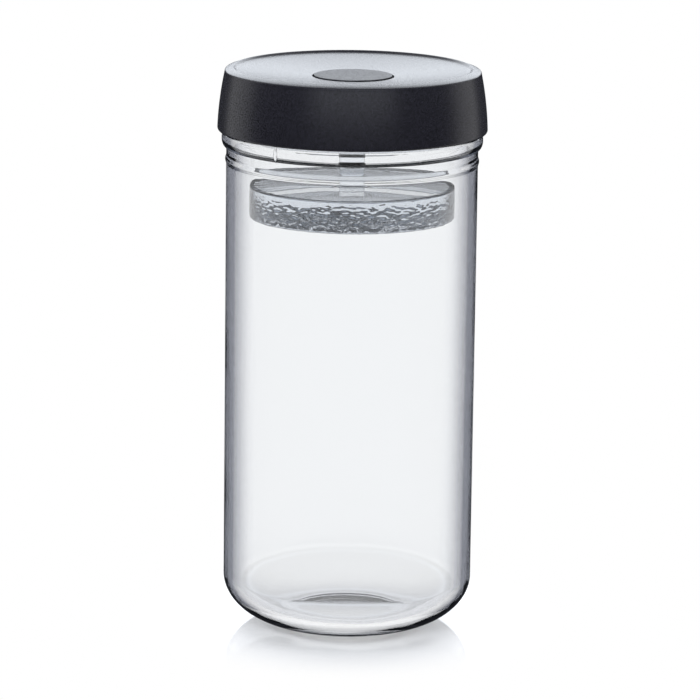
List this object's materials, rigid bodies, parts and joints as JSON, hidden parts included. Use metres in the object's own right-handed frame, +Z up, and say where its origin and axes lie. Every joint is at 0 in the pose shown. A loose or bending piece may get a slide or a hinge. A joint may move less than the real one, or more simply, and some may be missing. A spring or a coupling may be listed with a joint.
{
  "type": "fermentation jar",
  "caption": "Tall cylindrical glass fermentation jar with a matte dark screw lid, a round vent button in its dished top, and a clear glass weight hanging from the lid inside.",
  "frame": {"origin": "centre of the jar's base, on the plane of the flat foot ring that it stands on", "axes": "+Z up along the jar's axis, towards the lid; -Y towards the viewer of the picture"},
  "size_m": [0.1212, 0.1212, 0.2551],
  "materials": {
    "jar_glass": "clear pressed glass, polished",
    "weight_glass": "clear pressed glass with a lightly rippled side",
    "lid_plastic": "matte anthracite plastic with a fine moulded grain",
    "insert_plastic": "smooth dark grey plastic",
    "gasket_silicone": "translucent silicone",
    "holder_plastic": "smooth black plastic",
    "button_plastic": "matte grey plastic with a fine moulded grain",
    "spring_steel": "bright stainless wire",
    "plug_silicone": "dark silicone",
    "flap_silicone": "pale silicone"
  },
  "bodies": {
    "jar": {"glass_jar": "jar_glass"},
    "holder": {"stem_holder": "holder_plastic"},
    "lid": {"lid_shell": "lid_plastic", "lid_insert": "insert_plastic", "lid_gasket": "gasket_silicone", "button_spring": "spring_steel"},
    "weight": {"glass_weight": "weight_glass"},
    "button": {"valve_button": "button_plastic", "valve_plug": "plug_silicone"},
    "flap": {"valve_flap": "flap_silicone"}
  },
  "joints": [
    {"name": "lid_climb", "type": "slide", "parent": "jar", "child": "holder", "axis": [0, 0, 1], "range_m": [0, 0.0675]},
    {"name": "lid_turn", "type": "hinge", "parent": "holder", "child": "lid", "pos_m": [0, 0, 0.2267], "axis": [0, 0, 1], "range_deg": [0, 1440]},
    {"name": "weight_pull", "type": "slide", "parent": "holder", "child": "weight", "axis": [0, 0, -1], "range_m": [0, 0.03]},
    {"name": "button_press", "type": "slide", "parent": "lid", "child": "button", "axis": [0, 0, -1], "range_m": [0, 0.0016], "stiffness_N_per_m": 300, "springref_m": -0.002, "deforming": ["button_spring"]},
    {"name": "flap_lift", "type": "slide", "parent": "lid", "child": "flap", "axis": [0, 0, 1], "range_m": [0, 0.0006], "stiffness_N_per_m": 20, "springref_m": -0.001}
  ],
  "couplings": [
    {"joint": "lid_climb", "follows": "lid_turn", "m_per_rad": 0.0026738}
  ]
}
